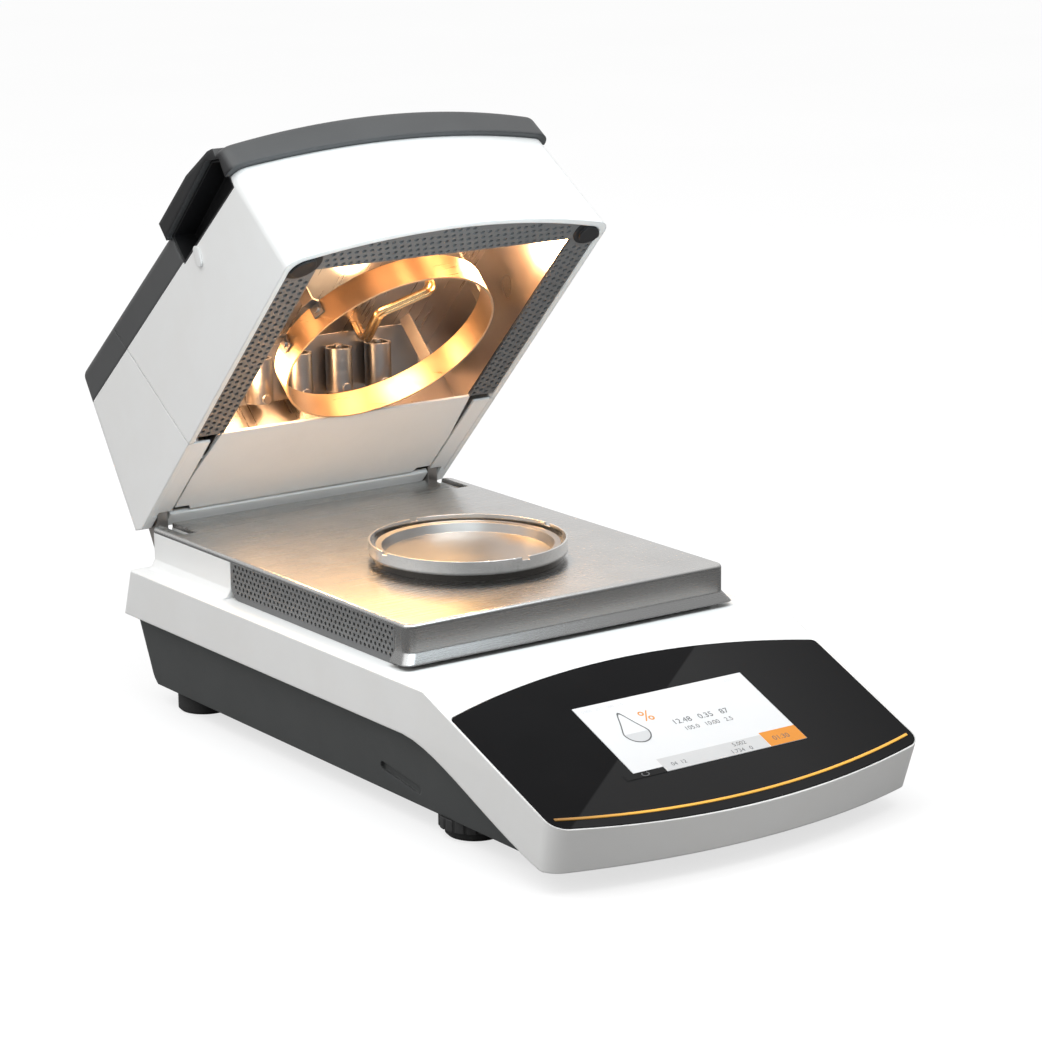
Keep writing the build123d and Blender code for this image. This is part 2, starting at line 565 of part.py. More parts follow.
LID = {}


def lid_bodies():
    outer, inner = lid_outer(), lid_inner()
    shell = outer - inner
    LID["shell"] = (shell & below_cover()) & seam_prism(True, SEAM_GAP)
    LID["rear"] = (shell & below_cover()) & seam_prism(False, SEAM_GAP)
    LID["cover"] = (shell - below_cover(PART_GAP)) & seam_prism(True, SEAM_GAP)
    LID["cover_rear"] = (shell - below_cover(PART_GAP)) & seam_prism(False, SEAM_GAP)


def lid_shell():
    body = LID["shell"]
    for side in (-1, 1):
        body -= grip_block(side, 1.5)
    return body


def lid_cover_front():
    body = LID["cover"] - arm_zone(PART_GAP) - band_zone(PART_GAP)
    for side in (-1, 1):
        body -= grip_block(side, 1.7)
    return body


def lid_handle():
    sleeve = lid_loft(-HANDLE_OUT)
    band = sleeve & arch(TOP_EDGE + HANDLE_UP, TOP_MID + HANDLE_UP)
    band = fillet(top_edges(band), 4.0) & band_zone()
    profile = [(-s, t) for s, t in ARM_TOP] + [(-232, 40), (-134.5, 40)]
    arms = sleeve & prism_x(profile, 130) & arm_zone()
    core = lid_loft(LID_WALL + 1) & arch(TOP_EDGE - 4, TOP_MID - 4)
    body = (band + arms) - core - below_cover(PART_GAP)
    for side in (-1, 1):
        body -= grip_block(side, 1.5)
    return body


def grip_recess(side):
    tray = grip_block(side, GRIP_WALL) & lid_loft(0.4)
    tray -= grip_block(side, 0) & block(-200, 200, -260, 0, 0, 200)
    return tray


def rear_cut():
    half = ARM_T / 2 + ARM_GAP
    slots = [block(x * HINGE_X - half, x * HINGE_X + half, -7, 13, -5, 14) for x in (-1, 1)]
    return slots[0] + slots[1]


def lid_rear_shell():
    rail = LID_HALF - 8
    rails = [block(x * rail - 5.6, x * rail + 5.6, -SEAM_S0 + 1, -4, 0.4, 1.7) for x in (-1, 1)]
    body = LID["rear"] + rails[0] + rails[1] - rear_cut()
    for i in range(9):
        body -= block(-42 + 10 * i, -38 + 10 * i, -20, 30, 40, 66)
    return body


def hinge_arm(side):
    y0, z0 = HINGE_Y - LID_Y, HINGE_Z - LID_Z
    points = [(y0 - 7.5, z0), (1.8, -4), (-5, 3), (-12, 2), (-40, 2), (-40, 12), (-8, 30), (0, 24), (3.5, 14),
              (9, 7), (y0 + 7.5, z0)]
    leaf = Pos(side * HINGE_X, 0, 0) * prism_x(points, ARM_T / 2)
    boss = Pos(side * HINGE_X, y0, z0) * Rot(0, 90, 0) * Cylinder(8, ARM_T)
    hole = Pos(side * HINGE_X, y0, z0) * Rot(0, 90, 0) * Cylinder(HINGE_R + RUN_FIT, 40)
    return leaf + boss - hole


def strip(points, holes):
    sheet = extrude(make_face(Polyline(*points, close=True)), BOX_T0 - 0.6)
    for x, y in holes:
        sheet -= Pos(x, y, 0) * Rot(0, 0, 45) * Box(HOLE, HOLE, 10)
    return Pos(0, 0, 0.6) * sheet


def side_strip(side):
    x0, x1 = side * WINDOW_HALF, side * (LID_HALF - LID_WALL - 0.4)
    points = [(x0, -WINDOW_S0), (x1, -WINDOW_S0), (x1, -WINDOW_S1), (x0, -WINDOW_S1)]
    holes = []
    for row in range(2):
        shift = 3.7 if row else 0
        holes += [(side * (81.0 + 6.6 * row), -WINDOW_S0 - 6 - shift - 7.4 * i) for i in range(17)]
    return strip(points, holes) - disc(BUMPER_R + PART_GAP, -5, 5, side * BUMPER_X, BUMPER_Y)


def front_strip():
    half = LID_HALF - LID_WALL - 1.2
    sheet = lid_plan_face_inner() & block(-half, half, -260, -WINDOW_S1 - 0.3, -1, 1)
    sheet = extrude(sheet, BOX_T0 - 0.6)
    for row in range(2):
        for i in range(20 - row):
            x = -71 + 7.4 * i + 3.7 * row
            y = -WINDOW_S1 - 4.6 - 6.2 * row
            if abs(x) < 74:
                sheet -= Pos(x, y, 0) * Rot(0, 0, 45) * Box(HOLE, HOLE, 10)
    for side in (-1, 1):
        sheet -= disc(BUMPER_R + PART_GAP, -5, 5, side * BUMPER_X, BUMPER_Y)
    return Pos(0, 0, 0.6) * sheet


def lid_plan_face_inner():
    return lid_plan(0, LID_HALF, LID_CORNER, LID_ARC, LID_REAR, LID_WALL + 0.4)


def corner_bumper(side):
    inside = extrude(lid_plan_face_inner(), BOX_T0) & disc(BUMPER_R, -1.0, 6, side * BUMPER_X, BUMPER_Y)
    pad = extrude(Pos(0, 0, -1.2) * lid_plan_face_inner(), 2.2)
    pad &= disc(7, -2, 1, side * (BUMPER_X - 0.5), BUMPER_Y + 1.5)
    return inside + pad


def reflector_box():
    box = block(-BOX_HALF, BOX_HALF, -BOX_S1, -BOX_S0, BOX_T0, BOX_T1)
    w = BOX_WALL
    return box - block(-BOX_HALF + w, BOX_HALF - w, -BOX_S1 + w, -BOX_S0 - w, BOX_T0 - 1, BOX_T1 - w)


def reflector_collar():
    ring = disc(COLLAR_R, COLLAR_T0, COLLAR_T1, 0, -COLLAR_S)
    ring -= disc(COLLAR_R - COLLAR_WALL, COLLAR_T0 - 1, COLLAR_T1 + 1, 0, -COLLAR_S)
    return ring


def collar_bracket(angle):
    a = radians(angle)
    foot = block(COLLAR_R, COLLAR_R + 1.4, -3.2, 3.2, COLLAR_T0 + 7, COLLAR_T1)
    arm = block(COLLAR_R, COLLAR_R + 7, -3.2, 3.2, COLLAR_T1 - 1.4, COLLAR_T1)
    post = block(COLLAR_R + 5.6, COLLAR_R + 7, -3.2, 3.2, COLLAR_T1 - 1.4, BOX_T1 - BOX_WALL)
    body = foot + arm + post
    body += Pos(COLLAR_R + 1.4, 0, COLLAR_T1 - 4) * Rot(0, 90, 0) * Cylinder(1.8, 2.4)
    body -= disc(COLLAR_R, 0, 40)
    return Pos(0, -COLLAR_S, 0) * Rot(0, 0, angle) * body


def tilt45(shape):
    return Pos(0, -SOCKET_S, SOCKET_T) * Rot(45, 0, 0) * shape


def lamp_socket(x):
    body = disc(SOCKET_R, 0, SOCKET_LEN) - disc(SOCKET_R - 1.6, SOCKET_LEN - 3, 60)
    body -= block(-20, 20, SOCKET_FLAT, 20, -5, 60)
    body += disc(2.2, SOCKET_LEN - 3.5, SOCKET_LEN + 1.5)
    screw = Pos(0, -SOCKET_R + 0.5, 2.6) * Rot(90, 0, 0) * Cylinder(2.4, 2.4)
    return Pos(x, 0, 0) * tilt45(body + screw)


def socket_plate():
    plate = tilt45(block(-60, 60, SOCKET_FLAT, SOCKET_FLAT + 1.6, -2, 50))
    return plate & block(-70, 70, -150, -BOX_S0 - BOX_WALL, 0, BOX_T1 - BOX_WALL)


def tube(points, r):
    path = FilletPolyline(*points, radius=5)
    start = Plane(origin=path @ 0, z_dir=path % 0)
    return sweep(start * Circle(r), path)


def heater_rod():
    pts = [(17, -93, 45.8), (17, -93, 34), (13, -121, 32), (40, -137, 32), (40, -137, 45.8)]
    shift = Vector(ROD_SPLIT * 0.8, ROD_SPLIT * 0.55, 0)
    first = tube(pts, ROD_R)
    return first + Pos(shift.X, shift.Y, 0) * first


def lid_inner_panel():
    x = LID_HALF - 14.8
    half = [(x - 3.7, -WINDOW_S0 + 0.3), (x, -38), (x, -9.6), (x - 8.6, -9.6), (x - 10.7, -6)]
    outline = half + [(-x, y) for x, y in half[::-1]]
    return Pos(0, 0, 0.6) * extrude(make_face(Polyline(*outline, close=True)), BOX_T0 - 0.6)


def side_tab(side):
    bar = Rot(0, 90, 0) * Rot(0, 0, 20) * extrude(SlotOverall(11, 4.6), 2.6, both=True)
    return Pos(side * (LID_HALF - 3), TAB_Y, TAB_T) * bar - lid_loft(0)


BASE_NODES = {
    "lower_housing": lower_housing, "upper_housing": upper_housing, "panel_glass": panel_glass,
    "accent_line": accent_line, "display_screen": display_screen, "display_module": display_module,
    "chamber_plate": chamber_plate, "load_receiver": load_receiver, "weighing_cell": weighing_cell,
    "main_board": main_board, "power_supply": power_supply, "rear_panel": rear_panel,
    "mains_inlet": mains_inlet, "fuse_drawer": fuse_drawer,
    "serial_port": serial_port, "usb_port": usb_port, "draft_ring": draft_ring,
    "pan_carrier": pan_carrier, "sample_pan": sample_pan,
}
LID_NODES = {
    "lid_shell": lid_shell, "lid_rear_shell": lid_rear_shell, "lid_cover_front": lid_cover_front,
    "lid_cover_rear": lambda: LID["cover_rear"], "lid_handle": lid_handle, "front_strip": front_strip,
    "reflector_box": reflector_box, "reflector_collar": reflector_collar, "socket_plate": socket_plate,
    "heater_rod": heater_rod, "lid_inner_panel": lid_inner_panel,
}
SIDED = {"rear_foot": rear_foot, "foot_wheel": foot_wheel, "foot_pad": foot_pad, "side_grille": grille,
         "hinge_bracket": hinge_bracket, "hinge_pin": hinge_pin}
SIDED_LID = {"hinge_arm": hinge_arm, "side_strip": side_strip, "corner_bumper": corner_bumper,
             "grip_recess": grip_recess, "side_tab": side_tab}
BRACKET_ANGLES = (-151, -178, 40, -4)


def save(name, shape):
    parts = shape.solids()
    body = parts[0] if len(parts) == 1 else Compound(children=list(parts))
    export_step(Pos(0, -Y_CENTRE, 0) * body, "parts/" + name + ".step")


def in_lid(shape):
    hinge = Pos(0, HINGE_Y, HINGE_Z)
    swing = hinge * Rot(-OPEN_DEG, 0, 0) * Pos(0, LID_Y - HINGE_Y, LID_Z - HINGE_Z)
    return swing * shape


lid_bodies()
for name, build in BASE_NODES.items():
    save(name, build())
for name, build in LID_NODES.items():
    save(name, in_lid(build()))
for side, word in ((-1, "left"), (1, "right")):
    for name, build in SIDED.items():
        save(name + "_" + word, build(side))
    for name, build in SIDED_LID.items():
        save(name + "_" + word, in_lid(build(side)))
for i, angle in enumerate(BRACKET_ANGLES):
    save("collar_bracket_" + str(i + 1), in_lid(collar_bracket(angle)))
for i, x in enumerate(SOCKET_X):
    save("lamp_socket_" + str(i + 1), in_lid(lamp_socket(x)))
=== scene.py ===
import bpy
import json
from math import sin, cos, radians, pi, sqrt
from mathutils import Matrix, Vector

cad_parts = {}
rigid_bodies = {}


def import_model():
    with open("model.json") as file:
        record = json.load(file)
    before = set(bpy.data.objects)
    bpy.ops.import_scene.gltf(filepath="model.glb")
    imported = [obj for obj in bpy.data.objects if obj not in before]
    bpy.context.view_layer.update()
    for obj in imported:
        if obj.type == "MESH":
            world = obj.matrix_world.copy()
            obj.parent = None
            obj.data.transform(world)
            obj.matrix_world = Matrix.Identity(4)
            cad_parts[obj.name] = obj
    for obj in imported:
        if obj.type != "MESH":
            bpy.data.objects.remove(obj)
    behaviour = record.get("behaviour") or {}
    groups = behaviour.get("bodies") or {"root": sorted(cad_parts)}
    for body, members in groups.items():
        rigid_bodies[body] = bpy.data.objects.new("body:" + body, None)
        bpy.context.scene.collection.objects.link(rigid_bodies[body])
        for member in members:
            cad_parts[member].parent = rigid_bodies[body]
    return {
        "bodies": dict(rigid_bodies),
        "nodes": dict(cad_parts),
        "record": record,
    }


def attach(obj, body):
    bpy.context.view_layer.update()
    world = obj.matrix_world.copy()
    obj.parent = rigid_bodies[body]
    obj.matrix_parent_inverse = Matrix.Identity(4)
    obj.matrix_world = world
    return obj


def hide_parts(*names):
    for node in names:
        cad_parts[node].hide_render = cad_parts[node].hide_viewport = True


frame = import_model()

N = frame["nodes"]
BODY = frame["bodies"]
Y0 = 28.79                       # the bench frame's y that lies over the origin, mm
HINGE = (174.0, 62.0)            # lid axis in the bench frame: y, z
LID = (160.2, 96.8)              # rear lower edge of the closed lid: y, z
OPEN = radians(46.0)

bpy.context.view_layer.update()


def at(x, y, z):
    """Bench millimetres to scene metres."""
    return Vector((x, y - Y0, z)) / 1000


def in_lid(x, s, t):
    """Lid millimetres (s forward from the rear edge, t upwards) to scene metres, lid open."""
    dy, dz = LID[0] - s - HINGE[0], LID[1] + t - HINGE[1]
    y = HINGE[0] + dy * cos(OPEN) + dz * sin(OPEN)
    z = HINGE[1] - dy * sin(OPEN) + dz * cos(OPEN)
    return at(x, y, z)


SLOPE = radians(21.84)


def on_panel(x, q, up=0.0):
    """Panel millimetres (q down the slope, up off the glass) to scene metres."""
    y = -113.9 - q * cos(SLOPE) - up * sin(SLOPE)
    z = 65.3 - q * sin(SLOPE) + up * cos(SLOPE)
    return at(x, y, z)


# Node helpers.
def node(tree, kind, ins=None, **props):
    n = tree.nodes.new(kind)
    for key, value in props.items():
        setattr(n, key, value)
    for key, value in (ins or {}).items():
        socket = n.inputs[key]
        if isinstance(value, bpy.types.NodeSocket):
            tree.links.new(value, socket)
        else:
            socket.default_value = value
    return n


def math(tree, op, a, b=0.0, clamp=False):
    return node(tree, "ShaderNodeMath", {0: a, 1: b}, operation=op, use_clamp=clamp).outputs[0]


def vectors(tree, op, a, b=(0.0, 0.0, 0.0)):
    return node(tree, "ShaderNodeVectorMath", {0: a, 1: b}, operation=op)


def remap(tree, value, a, b, c, d):
    ends = {"Value": value, "From Min": a, "From Max": b, "To Min": c, "To Max": d}
    return node(tree, "ShaderNodeMapRange", ends).outputs[0]


def mix(tree, fac, a, b, mode="MIX"):
    n = node(tree, "ShaderNodeMix", {"Factor": fac}, data_type="RGBA", blend_type=mode)
    for socket, value in ((n.inputs[6], a), (n.inputs[7], b)):
        if isinstance(value, bpy.types.NodeSocket):
            tree.links.new(value, socket)
        else:
            socket.default_value = (*value, 1.0)
    return n.outputs[2]


def make_group(name, ins, outs, fill):
    tree = bpy.data.node_groups.new(name, "ShaderNodeTree")
    for label, kind, default in ins:
        s = tree.interface.new_socket(label, in_out="INPUT", socket_type=kind)
        s.default_value = default
    for label, kind in outs:
        tree.interface.new_socket(label, in_out="OUTPUT", socket_type=kind)
    gi, go = tree.nodes.new("NodeGroupInput"), tree.nodes.new("NodeGroupOutput")
    for label, socket in fill(tree, gi).items():
        tree.links.new(socket, go.inputs[label])
    return tree


FLOAT, VECTOR = "NodeSocketFloat", "NodeSocketVector"


def object_coords(tree):
    return node(tree, "ShaderNodeTexCoord").outputs["Object"]


def noise(tree, vector, scale, detail=3.0, rough=0.5):
    look = {"Vector": vector, "Scale": scale, "Detail": detail, "Roughness": rough}
    return node(tree, "ShaderNodeTexNoise", look).outputs[0]


def fill_edges(tree, gi):
    bevel = node(tree, "ShaderNodeBevel", {"Radius": gi.outputs["Radius"]}, samples=4)
    geo = node(tree, "ShaderNodeNewGeometry")
    dot = vectors(tree, "DOT_PRODUCT", bevel.outputs[0], geo.outputs["Normal"])
    raw = remap(tree, dot.outputs["Value"], 1.0, 0.86, 0.0, 1.0)
    worn = noise(tree, object_coords(tree), 260.0, 4.0, 0.6)
    patch = remap(tree, worn, 0.35, 0.65, 0.25, 1.0)
    return {"Mask": math(tree, "MULTIPLY", raw, patch, True), "Normal": bevel.outputs[0]}


def fill_grain(tree, gi):
    co = object_coords(tree)
    fine = noise(tree, co, gi.outputs["Scale"], 2.0, 0.6)
    broad = noise(tree, co, 38.0, 3.0, 0.5)
    return {"Height": fine, "Broad": broad}


def fill_brushed(tree, gi):
    co = vectors(tree, "MULTIPLY", object_coords(tree), gi.outputs["Stretch"])
    lines = noise(tree, co.outputs[0], 1.0, 5.0, 0.65)
    long_co = vectors(tree, "MULTIPLY", co.outputs[0], (0.21, 0.21, 0.21))
    bands = noise(tree, long_co.outputs[0], 1.0, 2.0, 0.5)
    return {"Lines": lines, "Bands": bands}


def fill_smudge(tree, gi):
    co = object_coords(tree)
    warp = node(tree, "ShaderNodeTexNoise", {"Vector": co, "Scale": 9.0, "Detail": 2.0})
    moved = node(tree, "ShaderNodeMix", {"Factor": 0.08}, data_type="VECTOR")
    tree.links.new(co, moved.inputs[4])
    tree.links.new(warp.outputs[1], moved.inputs[5])
    blot = noise(tree, moved.outputs[1], gi.outputs["Scale"], 5.0, 0.62)
    return {"Mask": remap(tree, blot, 0.46, 0.72, 0.0, 1.0)}


def fill_dust(tree, gi):
    geo = node(tree, "ShaderNodeNewGeometry")
    up = node(tree, "ShaderNodeSeparateXYZ", {0: geo.outputs["Normal"]}).outputs[2]
    lying = remap(tree, up, 0.35, 0.95, 0.0, 1.0)
    specks = noise(tree, object_coords(tree), 900.0, 2.0, 0.7)
    dots = remap(tree, specks, 0.62, 0.72, 0.0, 1.0)
    film = remap(tree, noise(tree, object_coords(tree), 30.0, 4.0, 0.6), 0.4, 0.8, 0.0, 0.5)
    return {"Mask": math(tree, "MULTIPLY", lying, math(tree, "ADD", dots, film), True)}


LINES_PER_M = 4200.0             # turned lines around the pan's axis


def fill_rings(tree, gi):
    co = vectors(tree, "SUBTRACT", object_coords(tree), gi.outputs["Centre"])
    flat = vectors(tree, "MULTIPLY", co.outputs[0], (1.0, 1.0, 0.0))
    r = vectors(tree, "LENGTH", flat.outputs[0]).outputs["Value"]
    place = math(tree, "MULTIPLY", r, LINES_PER_M)
    line = node(tree, "ShaderNodeTexNoise", {"W": place, "Scale": 1.0, "Detail": 3.0}, noise_dimensions="1D")
    return {"Lines": line.outputs[0], "Radius": r}


G = {
    "edges": make_group("edges", [("Radius", FLOAT, 0.0008)],
                        [("Mask", FLOAT), ("Normal", VECTOR)], fill_edges),
    "grain": make_group("grain", [("Scale", FLOAT, 1400.0)],
                        [("Height", FLOAT), ("Broad", FLOAT)], fill_grain),
    "brushed": make_group("brushed", [("Stretch", VECTOR, (30, 2500, 2500))],
                          [("Lines", FLOAT), ("Bands", FLOAT)], fill_brushed),
    "smudge": make_group("smudge", [("Scale", FLOAT, 22.0)], [("Mask", FLOAT)], fill_smudge),
    "dust": make_group("dust", [], [("Mask", FLOAT)], fill_dust),
    "rings": make_group("rings", [("Centre", VECTOR, (0, 0, 0))],
                        [("Lines", FLOAT), ("Radius", FLOAT)], fill_rings),
}


def use(tree, name, **ins):
    n = node(tree, "ShaderNodeGroup", node_tree=G[name])
    for key, value in ins.items():
        n.inputs[key.capitalize()].default_value = value
    return n


MATS = {}


def surface(name, base, rough, shader, metallic=0.0, grain=1400.0, bump=0.04, edge=0.0008, edge_light=0.25,
            smudge=0.05, dust=0.0, broad=0.05, shift=None, stretch=None, rings=None):
    """One procedural finish: base colour with patches, lighter edges (wear and painted highlight), dust, and
    a fine bump.
    """
    mat = bpy.data.materials.new(name)
    mat.use_nodes = True
    tree = mat.node_tree
    tree.nodes.clear()
    out = node(tree, "ShaderNodeOutputMaterial")
    bsdf = node(tree, "ShaderNodeBsdfPrincipled", {"Metallic": metallic, **shader})
    tree.links.new(bsdf.outputs[0], out.inputs[0])
    g, e, m = use(tree, "grain", scale=grain), use(tree, "edges", radius=edge), use(tree, "smudge")
    col = mix(tree, remap(tree, g.outputs["Broad"], 0.3, 0.7, 0.0, 1.0),
              tuple(c * (1 - broad) for c in base), tuple(min(1, c * (1 + broad)) for c in base))
    if shift:
        col = mix(tree, m.outputs[0], col, shift)
    # Lighter edges in noisy patches: partly wear, partly painted highlight.
    light = tuple(min(1, c + edge_light * (1 - c)) for c in base)
    col = mix(tree, math(tree, "MULTIPLY", e.outputs["Mask"], 0.5), col, light)
    r = remap(tree, m.outputs[0], 0.0, 1.0, rough, rough + smudge)
    height = g.outputs["Height"]
    if stretch:
        b = use(tree, "brushed", stretch=stretch)
        height = b.outputs["Lines"]
        r = math(tree, "ADD", r, remap(tree, b.outputs["Bands"], 0.3, 0.7, -smudge, smudge))
        col = mix(tree, remap(tree, height, 0.3, 0.7, 0.0, 0.06), col, tuple(c * 0.8 for c in base))
    if rings:
        b = use(tree, "rings", centre=rings)
        height = b.outputs["Lines"]
        col = mix(tree, remap(tree, height, 0.3, 0.7, 0.0, 0.15), col, tuple(c * 0.8 for c in base))
    if dust:
        d = use(tree, "dust")
        fac = math(tree, "MULTIPLY", d.outputs[0], dust)
        col = mix(tree, fac, col, (0.62, 0.6, 0.56))
        r = math(tree, "ADD", r, math(tree, "MULTIPLY", fac, 0.3))
    tree.links.new(col, bsdf.inputs["Base Color"])
    tree.links.new(r, bsdf.inputs["Roughness"])
    bmp = node(tree, "ShaderNodeBump", {"Strength": bump, "Distance": 0.0002, "Height": height,
                                        "Normal": e.outputs["Normal"]})
    tree.links.new(bmp.outputs[0], bsdf.inputs["Normal"])
    MATS[name] = mat
    return mat


WELL = (0, (28.1 - Y0) / 1000, 0)          # the pan's axis
surface("white_housing", (0.80, 0.80, 0.79), 0.38, {"IOR": 1.46}, bump=0.05, edge=0.0012,
        edge_light=0.4, shift=(0.785, 0.78, 0.765), broad=0.008)
surface("dark_tub", (0.062, 0.065, 0.065), 0.55, {"IOR": 1.4}, grain=1100.0, bump=0.25, edge=0.001,
        edge_light=0.05, dust=0.03)
surface("dark_cover", (0.068, 0.069, 0.070), 0.46, {"IOR": 1.42}, grain=1300.0, bump=0.15, edge=0.0022,
        edge_light=0.06, dust=0.02)
# Like dark_cover; its left- and right-facing faces get painted shade below.
surface("handle_cover", (0.068, 0.069, 0.070), 0.46, {"IOR": 1.42}, grain=1300.0, bump=0.15,
        edge=0.003, edge_light=0.06, dust=0.02)
surface("black_plastic", (0.010, 0.010, 0.011), 0.5, {"IOR": 1.4}, bump=0.15, edge_light=0.05)
surface("light_plastic", (0.76, 0.76, 0.75), 0.36, {"IOR": 1.46}, bump=0.05, edge=0.001,
        edge_light=0.3, shift=(0.73, 0.725, 0.715), broad=0.01)
surface("panel_glass", (0.0085, 0.0085, 0.009), 0.12, {"IOR": 1.5, "Specular IOR Level": 0.015},
        bump=0.0, edge=0.0006, edge_light=0.03, smudge=0.05)
surface("accent", (0.85, 0.42, 0.04), 0.3,
        {"Emission Color": (1.0, 0.52, 0.05, 1), "Emission Strength": 0.12}, bump=0.02)
surface("steel_plate", (0.60, 0.595, 0.585), 0.27, {"Anisotropic": 0.3}, metallic=1.0, bump=0.003,
        edge=0.001, stretch=(90, 9000, 9000), smudge=0.008)
surface("grille_metal", (0.17, 0.17, 0.17), 0.5, {}, metallic=0.4, bump=0.06, edge=0.0003,
        edge_light=0.2)
surface("ring_steel", (0.78, 0.775, 0.765), 0.2, {}, metallic=1.0, bump=0.03, edge=0.0005, rings=WELL,
        smudge=0.05)
surface("pan_aluminium", (0.45, 0.435, 0.42), 0.3, {}, metallic=1.0, bump=0.05, edge=0.0004,
        rings=WELL, smudge=0.08)
surface("carrier_steel", (0.55, 0.55, 0.55), 0.28, {}, metallic=1.0, bump=0.05,
        stretch=(2000, 40, 2000))
surface("cell_aluminium", (0.66, 0.66, 0.67), 0.35, {}, metallic=1.0, bump=0.08,
        stretch=(2000, 30, 2000))
surface("reflector_metal", (0.50, 0.45, 0.42), 0.3, {}, metallic=1.0, bump=0.01, edge=0.0005,
        stretch=(3000, 60, 60), smudge=0.05)
surface("collar_gold", (0.82, 0.57, 0.34), 0.3, {}, metallic=1.0, bump=0.006, edge=0.0004,
        edge_light=0.1, stretch=(90, 90, 5000), smudge=0.03)
surface("bracket_steel", (0.38, 0.35, 0.33), 0.34, {}, metallic=1.0, bump=0.04, edge=0.0005,
        stretch=(60, 3000, 60))
surface("socket_steel", (0.30, 0.28, 0.27), 0.34, {}, metallic=1.0, bump=0.04, edge=0.0005,
        stretch=(60, 60, 3000))
surface("rod_steel", (0.62, 0.40, 0.20), 0.2, {}, metallic=1.0, bump=0.1, grain=900.0)
surface("circuit_board", (0.02, 0.13, 0.06), 0.4, {}, bump=0.05)
surface("module_metal", (0.35, 0.36, 0.37), 0.4, {}, metallic=0.8, bump=0.05)
surface("foot_plastic", (0.03, 0.03, 0.03), 0.5, {}, bump=0.2, edge_light=0.06)
surface("foot_rubber", (0.02, 0.02, 0.02), 0.7, {}, bump=0.3, edge_light=0.03)
surface("screen", (0.62, 0.63, 0.64), 0.35,
        {"Emission Color": (0.95, 0.97, 1.0, 1), "Emission Strength": 0.06, "Specular IOR Level": 0.1},
        bump=0.0, broad=0.01, edge_light=0.0)
surface("ink_grey", (0.09, 0.092, 0.095), 0.4,
        {"Emission Color": (0.3, 0.31, 0.32, 1), "Emission Strength": 0.02}, bump=0.0, edge_light=0.0)
surface("pale_grey", (0.50, 0.51, 0.52), 0.4,
        {"Emission Color": (0.5, 0.51, 0.52, 1), "Emission Strength": 0.08}, bump=0.0, edge_light=0.0)
surface("bar_grey", (0.50, 0.505, 0.51), 0.35,
        {"Emission Color": (0.5, 0.51, 0.52, 1), "Emission Strength": 0.06}, bump=0.0, edge_light=0.0)
surface("key_orange", (0.56, 0.19, 0.008), 0.35,
        {"Emission Color": (1.0, 0.5, 0.05, 1), "Emission Strength": 0.12}, bump=0.0, edge_light=0.0)


def painted_tone(name, a, b, direction, colour):
    """Painted light and shade: a slow change of base colour along one direction of the piece's own
    coordinates.
    """
    tree = MATS[name].node_tree
    bsdf = next(n for n in tree.nodes if n.type == "BSDF_PRINCIPLED")
    socket = bsdf.inputs["Base Color"]
    before = socket.links[0].from_socket
    along = vectors(tree, "DOT_PRODUCT", object_coords(tree), direction)
    fac = remap(tree, along.outputs["Value"], a, b, 0.0, 1.0)
    tree.links.new(mix(tree, fac, before, colour), socket)


def shade_side_faces(name, colour):
    """Painted shade: a second colour on the faces that look left or right."""
    tree = MATS[name].node_tree
    bsdf = next(n for n in tree.nodes if n.type == "BSDF_PRINCIPLED")
    socket = bsdf.inputs["Base Color"]
    before = socket.links[0].from_socket
    normal = node(tree, "ShaderNodeNewGeometry").outputs["Normal"]
    across = node(tree, "ShaderNodeSeparateXYZ", {0: normal}).outputs[0]
    fac = remap(tree, math(tree, "ABSOLUTE", across), 0.72, 0.9, 0.0, 1.0)
    tree.links.new(mix(tree, fac, before, colour), socket)


# Painted shade: the handle's left- and right-facing faces drawn near black.
shade_side_faces("handle_cover", (0.011, 0.011, 0.012))
# Painted reflection on the glass: lighter past a diagonal line, and a second tone blended in towards +x.
painted_tone("panel_glass", 0.1325, 0.1334, (0.544, -0.839, 0.0), (0.022, 0.022, 0.0225))
painted_tone("panel_glass", 0.03, 0.12, (1.0, 0.0, 0.0), (0.012, 0.012, 0.0125))
# Painted shade: the plate's skirt is drawn darker below the top face.
painted_tone("steel_plate", 0.0947, 0.0930, (0.0, 0.0, 1.0), (0.27, 0.27, 0.268))
# Painted shadow: the ring is drawn dark below its upper band.
painted_tone("ring_steel", 0.1003, 0.0988, (0.0, 0.0, 1.0), (0.07, 0.065, 0.06))
# Painted shade: the accent line turns dim brown towards its left end.
painted_tone("accent", -0.062, -0.104, (1.0, 0.0, 0.0), (0.20, 0.09, 0.02))

for part in frame["record"]["subparts"]:
    o = N[part["node"]]
    o.data.materials.clear()
    o.data.materials.append(MATS[part["material_slot"]])
N["reflector_collar"].data.materials[0] = MATS["collar_gold"]
N["lid_handle"].data.materials[0] = MATS["handle_cover"]

# Mesh helpers.


def new_mesh(name, verts, faces, material, body, smooth=False):
    me = bpy.data.meshes.new(name)
    me.from_pydata([tuple(v) for v in verts], [], faces)
    me.update()
    o = bpy.data.objects.new(name, me)
    bpy.context.scene.collection.objects.link(o)
    me.materials.append(MATS[material])
    if smooth:
        for p in me.polygons:
            p.use_smooth = True
    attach(o, body)
    return o


